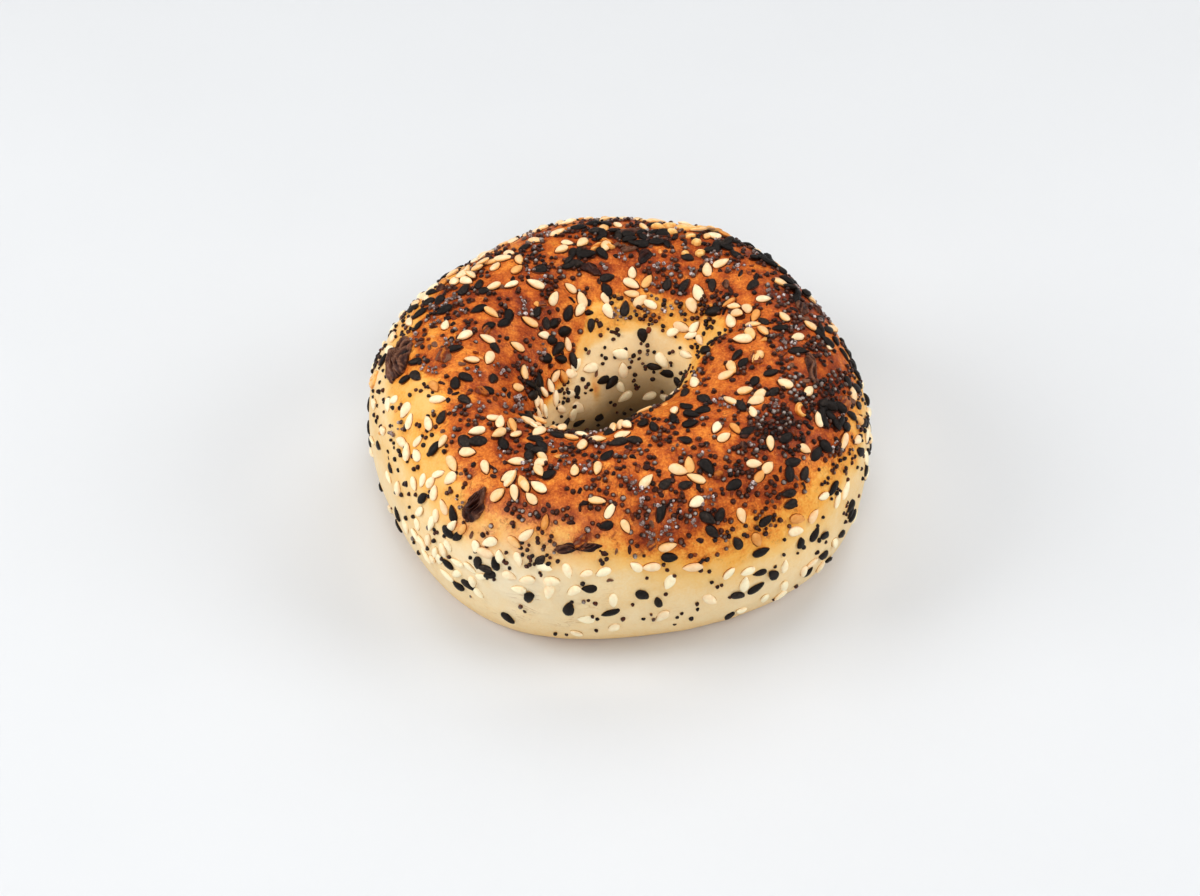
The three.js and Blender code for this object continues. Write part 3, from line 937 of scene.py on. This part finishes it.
def rim_and_shadow_material():
    # Caramelised rims round the seeds, with painted contact shadow.
    nodes = Nodes("baked_rim_and_painted_shadow")
    colour = nodes.tinted(RIM_AND_SHADOW_COLOURS, 0.3, 0.6)
    return nodes.set(colour, 0.42, 0.12, nodes.bump(nodes.noise(0.3), 0.04, 0.6))


def white_sesame_material():
    nodes = Nodes("white_sesame")
    colour = nodes.tinted(WHITE_COLOURS, 0.35, 0.9)
    return nodes.set(colour, 0.45, 0.25, nodes.bump(nodes.noise(0.35), 0.03, 0.5))


def black_sesame_material():
    nodes = Nodes("black_sesame")
    colour = nodes.tinted(BLACK_COLOURS, 1.0, 0.5, 3.0)
    return nodes.set(colour, 0.5, 0.14, nodes.bump(nodes.noise(0.25, 3.0, 0.6), 0.05, 0.7))


def poppy_material():
    nodes = Nodes("poppy_seed")
    colour = nodes.tinted(POPPY_COLOURS, 0.5, 0.3)
    return nodes.set(colour, 0.35, 0.22, nodes.bump(nodes.cells(0.2), 0.05, 0.8))


def flake_material():
    nodes = Nodes("onion_flake")
    colour = nodes.tinted(FLAKE_COLOURS, 0.3, 0.7, 3.0, 0.6)
    return nodes.set(colour, 0.34, 0.16, nodes.bump(nodes.noise(0.45, 3.0, 0.6, 0.6), 0.1, 0.8))


def crystal_material():
    nodes = Nodes("salt_crystal")
    colour = nodes.tinted(CRYSTAL_AND_GLINT_COLOURS, 1.0, 0.3)
    return nodes.set(colour, 0.2, 0.6, nodes.bump(nodes.noise(0.2), 0.04, 0.6))


def floor_material():
    """Pale, and far from the lights it glows as much as they would have lit it."""
    nodes = Nodes("studio_floor")
    away = nodes.node("VectorMath", "Value", {0: nodes.place}, operation="LENGTH")
    nodes.link(nodes.spread(away, 0.3, 1.0, 0.0, 0.62), nodes.shader.inputs["Emission Strength"])
    nodes.shader.inputs["Emission Color"].default_value = (1, 1, 1, 1)
    return nodes.set(nodes.mix(nodes.noise(60.0), *FLOOR_COLOURS), 0.6, 0.3)


# ---------------- pieces
# Powers of a drop's taper: of its width at the tip, at its round end, and of its thickness
# at the tip.
SESAME_TAPER = (0.78, 0.5, 0.58)
RIM_TAPER = (0.6, 0.5, 0.5)
POPPY_TAPER = (0.5, 0.5, 0.5)
CRYSTAL_TAPER = (0.4, 0.4, 0.4)
CRUMB_TAPER = (0.45, 0.4, 0.4)


def make_bread(stains):
    points, faces, values = bread_mesh(stains)
    piece = add_piece("bagel_bread", points, faces, crust_material(), values)
    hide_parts(NODE)


RIM_HEIGHT, RIM_LOWEST = 0.12, 0.02


def make_rims_and_shadows(name, rng, spots, sizes, edge, material, facets=(4, 12)):
    """Baked edges on the crust, partly caramelised crust and partly painted contact shadow, a
    little wider than the seeds above them and on brown crust.
    """
    frames = frames_of(spots)
    count = len(spots.around)
    rich = smooth_step(0.22, 0.5, frames.browning)
    wide = edge * (rich - 0.25 * (1 - rich)) * rng.uniform(0.5, 1.15, count)
    sizes = np.column_stack([sizes[:, :2] + wide[:, None], np.full(count, RIM_HEIGHT)])
    shape, faces = drop_shape(*facets, *RIM_TAPER)
    matrices = rotations(frames, spots.turn)
    points, joined = draped_copies(shape, faces, spots, matrices, sizes)
    points[:, 2] = np.maximum(points[:, 2], RIM_LOWEST)
    tints = np.repeat(frames.browning + 0.08, len(shape))
    add_piece(name, points, joined, material, dict(tint=tints))


SESAME_SIZE = (3.3, 1.9, 0.95)
SESAME_SMALLEST, SESAME_LARGEST = (0.88, 0.84, 0.85), (1.1, 1.1, 1.2)
SESAME_RINGS, SESAME_SIDES = 12, 14
SESAME_RADIUS = 0.98
SESAME_RIM = 0.17
GROUP_CLEAR_SHARE, PILED_CLEAR_SHARE = 0.8, 0.5
TIP_TINT = 0.14
# Ridges are a share of a seed's half width; the edge tint is added at its edge.
WHITE_RIDGES, WHITE_EDGE_TINT = 0, 0.4
BLACK_RIDGES, BLACK_EDGE_TINT = 0.08, -0.3


def heaps_and_groups(rng, kind, taken):
    """Places of one kind that lie together, and 1 for each that is piled up."""
    found = []
    for rows, apart, piled, keeps in (
        (HEAPS[kind], HEAP_APART, 1.0, 0.0),
        (GROUPS[kind], GROUP_APART, 0.0, GROUP_CLEAR_SHARE * SESAME_RADIUS),
    ):
        for row in rows:
            for around, over in near_spots(rng, *row, apart):
                if not keeps or taken.clear(crust_at(around, over), keeps):
                    found.append((around, over, piled))
    around, over, piled = np.array(found).T
    for place in crust_at(around, over):
        taken.add(place, PILED_CLEAR_SHARE * SESAME_RADIUS)
    return SimpleNamespace(around=around, over=over, piled=piled)


def sesame_of_kind(rng, kind, even, taken):
    """Seeds of one kind: the even ones, scattered ones, and those in heaps and groups."""
    total, base, patches = SESAME[kind]
    heaped = heaps_and_groups(rng, kind, taken)
    new = total - len(even.around)
    more = new - len(heaped.around)

    def weight(around, over, places):
        return density(base, patches, around, over) ** 1.25 * clumps(places, 7.0, 31, 0.4)

    extra = scatter(rng, more, weight, SESAME_RADIUS, taken)
    piled = np.append(np.zeros(total - len(heaped.around)), heaped.piled)
    return SimpleNamespace(
        around=np.concatenate([even.around, extra.around, heaped.around]),
        over=np.concatenate([even.over, extra.over, heaped.over]),
        turn=np.append(even.turn, rng.uniform(0, 2 * math.pi, new)),
        scale=np.append(even.scale, rng.uniform(0.86, 1.1, new)),
        roll=np.radians(np.clip(rng.normal(0, 9 + 14 * piled), -40, 40)),
        pitch=np.radians(np.clip(rng.normal(0, 4 + 7 * piled), -17, 17)),
        piled=piled,
    )


def sesame_spots(rng, taken):
    """The even seeds, each white or black by what lies there most, then more of each."""
    even = even_sesame()
    for place in crust(even.around, even.over):
        taken.add(place, SESAME_RADIUS)
    even.around, even.over = np.degrees(even.around), np.degrees(even.over)
    white, black = (density(*SESAME[kind][1:], even.around, even.over) for kind in SESAME)
    is_white = rng.uniform(0, 1, len(white)) < white / (white + black)
    kinds = []
    for kind, chosen in (("white", is_white), ("black", ~is_white)):
        part = SimpleNamespace(**{key: row[chosen] for key, row in vars(even).items()})
        kinds.append(sesame_of_kind(rng, kind, part, taken))
    return kinds


def make_sesame(name, rng, spots, material, slot, ridges, edge_tint):
    """Drops with ridges along them, tinted at their edge and tip, most on brown crust."""
    frames = frames_of(spots)
    matrices = rotations(frames, spots.turn, spots.roll, spots.pitch)
    varied = rng.uniform(SESAME_SMALLEST, SESAME_LARGEST, (len(spots.around), 3))
    size = np.array(SESAME_SIZE) / 2 * varied * spots.scale[:, None]
    centres = frames.place + frames.out * spots.lift[:, None]
    shape, faces = drop_shape(SESAME_RINGS, SESAME_SIDES, *SESAME_TAPER)
    angle = np.arctan2(shape[:, 2], shape[:, 1])
    shape[:, 1:] *= 1 + ridges * np.cos(SESAME_SIDES / 2 * angle)[:, None]
    points, joined = joined_copies(shape, faces, matrices, centres, size)
    rich = smooth_step(0.25, 0.5, frames.browning)
    edge = (1 - np.abs(np.sin(angle))) ** 2 * edge_tint
    tip = TIP_TINT * smooth_step(0.5, 1.0, shape[:, 0])
    tints = spots.tint[:, None] + (edge + tip)[None] * (0.3 + 0.7 * rich)[:, None]
    add_piece(name, roughened(points, 0.07, 1.3), joined, material, dict(tint=tints))
    return size


def make_white_sesame(rng, spots):
    """Creamy on pale crust and tanned on brown crust, with a few toasted seeds."""
    count = len(spots.around)
    top = smooth_step(0.2, 0.6, np.sin(np.radians(spots.over)))
    spots.lift = 0.12 + 0.04 * top + rng.uniform(-0.06, 0.12, count)
    spots.lift = spots.lift + spots.piled * rng.uniform(0, 0.7, count)
    rich = smooth_step(0.16, 0.42, frames_of(spots).browning)
    tints = np.clip(rng.normal(0.02 + 0.2 * rich, 0.05 + 0.04 * rich), 0, 0.95)
    toasted = rng.uniform(0, 1, count) < 0.08 * rich
    spots.tint = np.where(toasted, rng.uniform(0.5, 0.8, count), tints)
    looks = white_sesame_material(), "sesame_white", WHITE_RIDGES, WHITE_EDGE_TINT
    return make_sesame("white_sesame", rng, spots, *looks)


def make_black_sesame(rng, spots):
    count = len(spots.around)
    spots.lift = rng.uniform(0.04, 0.22, count) + spots.piled * rng.uniform(0, 0.55, count)
    spots.tint = rng.uniform(0.2, 0.65, count)
    looks = black_sesame_material(), "sesame_black", BLACK_RIDGES, BLACK_EDGE_TINT
    return make_sesame("black_sesame", rng, spots, *looks)


POPPY_COUNT = 2150
POPPY_SIZE = (1.02, 0.92, 0.84)
POPPY_RADIUS = 0.29
POPPY_SCALES, POPPY_LIFTS = (0.7, 1.12), (-0.1, 0.25)
POPPY_RIM = 0.16
BLACKEST_POPPIES = (328, 66, 20, 18)


def kidney_shape(rings, sides):
    """A small kidney of length, width and thickness 2, dented on one side."""
    points, faces = drop_shape(rings, sides, *POPPY_TAPER)
    points[:, 1] -= 0.3 * bell(points[:, 0], 0.45) * np.clip(points[:, 1], 0, 1)
    return points, faces


def poppy_spots(rng, taken):
    def weight(around, over, places):
        near = clumps(places, 3.2, 41, 0.12) * clumps(places, 9.0, 42, 0.5)
        return density(POPPY_COVER, POPPY_PATCHES, around, over) ** 1.15 * near

    return scatter(rng, POPPY_COUNT, weight, POPPY_RADIUS, taken)


def poppy_tints(rng, spots, frames):
    """Blue-black to brown, browner on brown crust, with some grey seeds."""
    rich = smooth_step(0.3, 0.5, frames.browning)
    black = patch(spots.around, spots.over, BLACKEST_POPPIES)
    brown = 0.24 * rich * (1 - 0.9 * black)
    tints = rng.uniform(0.0, 0.3, POPPY_COUNT) * (1 - 0.6 * black)
    tints = tints + brown * rng.uniform(0, 1, POPPY_COUNT)
    tints = tints + 0.5 * rng.uniform(0, 1, POPPY_COUNT) ** 6
    grey = rng.uniform(0, 1, POPPY_COUNT) < 0.02 + 0.1 * rich + 0.2 * black
    return np.where(grey, rng.uniform(0.6, 0.78, POPPY_COUNT), tints)


def make_poppy(rng, spots, rims_and_shadows):
    """Poppy seeds at all angles, with a painted highlight on top, and their baked rims with
    painted contact shadow.
    """
    frames = frames_of(spots)
    turns = random_turns(rng, POPPY_COUNT)
    size = np.array(POPPY_SIZE) / 2 * rng.uniform(*POPPY_SCALES, (POPPY_COUNT, 1))
    centres = frames.place + frames.out * rng.uniform(*POPPY_LIFTS, POPPY_COUNT)[:, None]
    shape, faces = kidney_shape(4, 9)
    points, joined = joined_copies(shape, faces, rotations(frames, *turns), centres, size)
    points = roughened(points, 0.06, 0.6)
    tints = poppy_tints(rng, spots, frames)
    # Painted highlight: each seed's tint rises on its side that faces away from the crust.
    away = points.reshape(POPPY_COUNT, -1, 3) - centres[:, None]
    upward = np.einsum("nvj,nj->nv", away, frames.out) / size[:, :1]
    tints = tints[:, None] + 0.3 * smooth_step(0.45, 1.0, upward)
    add_piece("poppy_seeds", points, joined, poppy_material(), dict(tint=tints))
    spots.turn = turns[0]
    make_rims_and_shadows("poppy_rims_and_shadows", rng, spots, size, POPPY_RIM, rims_and_shadows, (3, 9))


GRAIN_GROUPS, GRAINS_EACH, GRAINS_REACH = 100, 5, 1.3
GRAIN_RADIUS = 0.7


def grain_spots(rng, taken):
    def weight(around, over, places):
        high = smooth_step(0.45, 0.7, np.sin(np.radians(over)))
        return density(GRAIN_COVER, GRAIN_PATCHES, around, over) * high

    groups = scatter(rng, GRAIN_GROUPS, weight, GRAIN_RADIUS, taken)
    found = [
        near_spots(rng, around, over, GRAINS_REACH, GRAINS_EACH)
        for around, over in zip(groups.around, groups.over)
    ]
    return spots_of(np.vstack(found))


def make_crystals(rng, spots):
    """Grains of salt and dried garlic with flat faces, with painted glints where some of their
    points are tinted near white.
    """
    count = len(spots.around)
    frames = frames_of(spots)
    matrices = rotations(frames, *random_turns(rng, count))
    size = rng.uniform(0.24, 0.52, (count, 1)) * rng.uniform(0.7, 1.0, (count, 3))
    centres = frames.place + frames.out * rng.uniform(0.05, 0.4, count)[:, None]
    shape, faces = drop_shape(4, 7, *CRYSTAL_TAPER)
    points, joined = joined_copies(shape, faces, matrices, centres, size)
    # Painted highlight: each point's tint varies on its own, so some points of a grain show
    # near-white glints.
    tints = rng.uniform(0.0, 0.7, (count, 1)) + rng.uniform(-0.2, 0.35, (count, len(shape)))
    material = crystal_material()
    add_piece("crystals", points, joined, material, dict(tint=tints), smooth=False)


RAISIN_LOBES = (
    (0, 40, -0.55), (-137, 20, 0.36), (-165, 14, 0.22), (-90, 30, 0.08), (58, 18, -0.16),
    (95, 20, -0.04), (170, 10, 0.06),
)
BOW_LOBES = ((84, 20, -0.6), (-84, 20, -0.6), (0, 20, 0.2))
# Kinds of flake: tint, tint gained on crests (a painted highlight, with painted shade in the
# folds) and at the rim, rise, height of folds, and lobes of its outline by angle, spread and size.
KINDS = dict(
    raisin=(0.14, 0.2, 0.03, 1.8, 1.0, RAISIN_LOBES),
    knob=(0.14, 0.22, 0.03, 1.6, 1.0, ()),
    leaf=(0.05, 0.1, 0.16, 1.1, 0.9, ((0, 20, 0.16),)),
    husk=(0.08, 0.12, 0.1, 0.55, 0.4, BOW_LOBES),
    strip=(0.2, 0.1, 0.05, 0.75, 0.6, ((0, 20, 0.2),)),
    slab=(0.17, 0.1, 0.04, 0.75, 0.35, ()),
    hull=(0.06, 0.1, 0.02, 0.75, 0.5, ((0, 22, 0.22),)),
    blister=(0.47, 0.1, -0.04, 0.85, 0.35, ((0, 20, 0.25),)),
    shard=(0.72, 0.1, -0.08, 0.7, 0.2, ((0, 20, 0.15),)),
    curl=(0.78, 0.1, -0.12, 0.9, 0.15, ()),
    nut=(0.88, 0.06, -0.12, 0.85, 0.2, ()),
)
CURL_RADIUS = 1.15
# Rings and sides of flakes up to a length.
FLAKE_FACETS = ((3.5, (8, 22)), (4.5, (12, 32)), (6, (16, 48)), (99, (28, 80)))
FLAKE_SUNK = 0.35
FOLD_STRETCH = np.array([0.42, 1.8, 1.0])


def flake_mesh(index, length, width, kind, rings, sides):
    """A wrinkled chip, half sunk in the crust, and the tint of each of its points, with a painted
    highlight on its crests and painted shade in its folds.
    """
    tint, crest_highlight_and_fold_shade, rim_tint, rise, fold, lobes = KINDS[kind]
    angle = np.arange(sides) * 2 * math.pi / sides
    rim = 1 + 0.1 * np.sin(3 * angle + index) + 0.06 * np.sin(5 * angle + 2.1 * index)
    rim = rim + 0.04 * np.sin(9 * angle + index)
    for at, spread, size in lobes:
        rim = rim + size * bell(turned_by(np.degrees(angle), at), spread)
    share = np.linspace(0.06, 1, rings)
    radial = np.repeat(share, sides)
    x = (np.outer(share, np.cos(angle) * rim) * length / 2).ravel()
    y = (np.outer(share, np.sin(angle) * rim) * width / 2).ravel()
    flat = np.stack([x, y, np.full(x.size, index * 7.0)], axis=1)
    bent = flat + np.outer(0.5 * np.sin(0.9 * x), (0, 1, 0))
    crests = 1 - 2.6 * np.abs(lattice_noise(bent * FOLD_STRETCH, 1.0, 21))
    soft = lattice_noise(flat, 2.0, 22)
    dome = np.sqrt(1 - 0.9 * radial**3)
    top = dome * (rise * (0.85 + 0.35 * soft) + 0.6 * fold * (crests - 0.3))
    if kind == "curl":
        turned, reach = x / CURL_RADIUS, CURL_RADIUS + y * 0.42
        x, y = reach * np.sin(turned), reach * np.cos(turned) - CURL_RADIUS
    under = np.full(x.size, -FLAKE_SUNK)
    # Painted light: the tint rises on the crests and falls in the folds between them.
    tints = tint + crest_highlight_and_fold_shade * crests + rim_tint * radial**2
    upper = np.stack([x, y, top], axis=1)
    lower = np.stack([x, y, under], axis=1).reshape(rings, sides, 3)[::-1].reshape(-1, 3)
    middle = upper[:sides].mean(axis=0)
    ends = np.stack([middle, [middle[0], middle[1], -FLAKE_SUNK]])
    tints = np.concatenate([tints, tints[::-1], [tint, tint]])
    return np.vstack([upper, lower, ends]), drop_faces(2 * rings, sides)[:, ::-1], tints


def make_flakes(material):
    every, joined, tints, offset = [], [], [], 0
    for index, (around, over, length, width, turn, kind) in enumerate(FLAKES + BITS):
        facets = next(facets for most, facets in FLAKE_FACETS if length < most)
        shape, faces, tint = flake_mesh(index, length, width, kind, *facets)
        spot = spots_of([(around, over)])
        frames = crust_frame(np.radians(spot.around), np.radians(spot.over))
        matrix = rotations(frames, np.radians(turn))
        points, _ = draped_copies(shape, faces, spot, matrix, np.ones((1, 3)))
        every.append(points)
        joined.append(faces + offset)
        tints.append(tint)
        offset += len(shape)
    values = dict(tint=np.concatenate(tints))
    add_piece("onion_flakes", np.vstack(every), np.vstack(joined), material, values)


CRUMB_COUNT, CRUMB_RADIUS = 230, 0.4
CRUMB_SMALLEST, CRUMB_LARGEST = (0.4, 0.3, 0.22), (1.1, 0.65, 0.45)
CRUMB_TINTS, CRUMB_CHANCES = (0.03, 0.12, 0.3, 0.44, 0.72), (0.36, 0.26, 0.16, 0.14, 0.08)


def crumb_spots(rng, taken):
    def weight(around, over, places):
        return density(GRAIN_COVER, GRAIN_PATCHES, around, over) * clumps(places, 4.0, 61, 0.2)

    return scatter(rng, CRUMB_COUNT, weight, CRUMB_RADIUS, taken)


def make_crumbs(rng, spots, material):
    """Crumbs of dried onion between the seeds."""
    frames = frames_of(spots)
    turn, roll, pitch = random_turns(rng, CRUMB_COUNT)
    matrices = rotations(frames, turn, 0.3 * np.sin(roll), 0.3 * np.sin(pitch))
    size = rng.uniform(CRUMB_SMALLEST, CRUMB_LARGEST, (CRUMB_COUNT, 3))
    shape, faces = drop_shape(5, 9, *CRUMB_TAPER)
    points, joined = joined_copies(shape, faces, matrices, frames.place, size)
    points = roughened(points, 0.22, 0.7)
    tints = np.repeat(rng.choice(CRUMB_TINTS, CRUMB_COUNT, p=CRUMB_CHANCES), len(shape))
    add_piece("onion_crumbs", points, joined, material, dict(tint=tints), smooth=False)


# How strongly a topping stains the crust, and how many places round a flake do; round a flake the
# darkening is partly stain and partly painted shadow.
WHITE_STAIN, BLACK_STAIN, POPPY_STAIN, GRAIN_STAIN = 0.35, 0.5, 0.5, 0.4
FLAKE_STAIN_AND_SHADOW, FLAKE_STAIN_AND_SHADOW_SPOTS = 0.4, 10


def stains_of(groups):
    """Each topping's place with how strongly it stains the crust."""
    stains = []
    for spots, strength in groups:
        stains += [(place, strength) for place in crust_at(spots.around, spots.over).tolist()]
    # Spots round each flake's outline darken the crust, partly as stain and partly as painted
    # shadow of the flake.
    angles = np.arange(FLAKE_STAIN_AND_SHADOW_SPOTS) * 2 * math.pi / FLAKE_STAIN_AND_SHADOW_SPOTS
    for around, over, length, width, turn, _ in FLAKES + BITS:
        spot = crust_frame(np.radians(around), np.radians(over))
        turn = math.radians(turn)
        ahead = spot.along * math.cos(turn) + spot.across * math.sin(turn)
        beside = np.cross(spot.out, ahead)
        rim = np.outer(np.cos(angles) * length / 2, ahead)
        rim = rim + np.outer(np.sin(angles) * width / 2, beside)
        stains += [(place, FLAKE_STAIN_AND_SHADOW) for place in (spot.place + rim).tolist()]
    return stains


TOPPINGS_SEED = 407
FLAKE_CLEAR_SHARE = 0.4


def make_bagel():
    rng = np.random.default_rng(TOPPINGS_SEED)
    taken = Places()
    for around, over, length, *_ in FLAKES + BITS:
        taken.add(crust_at(around, over), FLAKE_CLEAR_SHARE * length)
    white, black = sesame_spots(rng, taken)
    poppy = poppy_spots(rng, taken)
    grains = grain_spots(rng, taken)
    crumbs = crumb_spots(rng, taken)
    small = (white, WHITE_STAIN), (black, BLACK_STAIN), (poppy, POPPY_STAIN), (grains, GRAIN_STAIN)
    make_bread(stains_of(small))
    rims_and_shadows, onion = rim_and_shadow_material(), flake_material()
    make_flakes(onion)
    white_size = make_white_sesame(rng, white)
    black_size = make_black_sesame(rng, black)
    # Rims round the sesame: caramelised crust and painted contact shadow.
    make_rims_and_shadows("white_rims_and_shadows", rng, white, white_size, SESAME_RIM, rims_and_shadows)
    make_rims_and_shadows("black_rims_and_shadows", rng, black, black_size, SESAME_RIM, rims_and_shadows)
    make_poppy(rng, poppy, rims_and_shadows)
    make_crystals(rng, grains)
    make_crumbs(rng, crumbs, onion)


# ---------------- the studio
TARGET = Vector((-3.35, 2.8, 6.75))
CAMERA_DISTANCE, CAMERA_ELEVATION = 570, 44.5
LENS, SENSOR = 85, 36
WORLD_COLOUR, WORLD_STRENGTH = (1.0, 0.99, 0.98, 1), 0.13
FLOOR_REACH_M = 4.0
LIGHT_SIZE, LIGHT_TARGET = 450, Vector((0, 0, 20))
# Soft lights on all sides, as in a light tent: place and power.
LIGHTS = (
    ("top_light", (0, 0, 900), 1.55),
    ("front_light", (0, -600, 520), 2.6),
    ("left_light", (-650, -50, 450), 3.4),
    ("right_light", (650, -50, 450), 2.55),
    ("back_left_light", (-300, 500, 600), 1.05),
    ("back_right_light", (300, 500, 600), 1.5),
)


def aim(thing, place, direction):
    thing.location = place * MM
    thing.rotation_euler = direction.to_track_quat("-Z", "Y").to_euler()


def make_camera():
    data = bpy.data.cameras.new("camera")
    data.lens = LENS
    data.sensor_width = SENSOR
    data.clip_start = 0.01
    camera = add_object("camera", data)
    rise = math.radians(CAMERA_ELEVATION)
    back = Vector((0, -math.cos(rise), math.sin(rise)))
    aim(camera, TARGET + back * CAMERA_DISTANCE, -back)
    bpy.context.scene.camera = camera


def make_light(name, place, power):
    data = bpy.data.lights.new(name, "AREA")
    data.shape = "DISK"
    data.size = LIGHT_SIZE * MM
    data.energy = power
    aim(add_object(name, data), Vector(place), LIGHT_TARGET - Vector(place))


def make_floor():
    reach = FLOOR_REACH_M
    corners = [(-reach, -reach, 0), (reach, -reach, 0), (reach, reach, 0), (-reach, reach, 0)]
    mesh = bpy.data.meshes.new("floor")
    mesh.from_pydata(corners, [], [(0, 1, 2, 3)])
    mesh.materials.append(floor_material())
    floor = add_object("floor", mesh)


def make_studio():
    scene = bpy.context.scene
    scene.view_settings.view_transform = "Standard"
    scene.world = bpy.data.worlds.new("studio")
    scene.world.use_nodes = True
    background = scene.world.node_tree.nodes["Background"]
    background.inputs["Color"].default_value = WORLD_COLOUR
    background.inputs["Strength"].default_value = WORLD_STRENGTH
    for light in LIGHTS:
        make_light(*light)
    make_floor()


def main():
    make_camera()
    make_studio()
    make_bagel()


main()
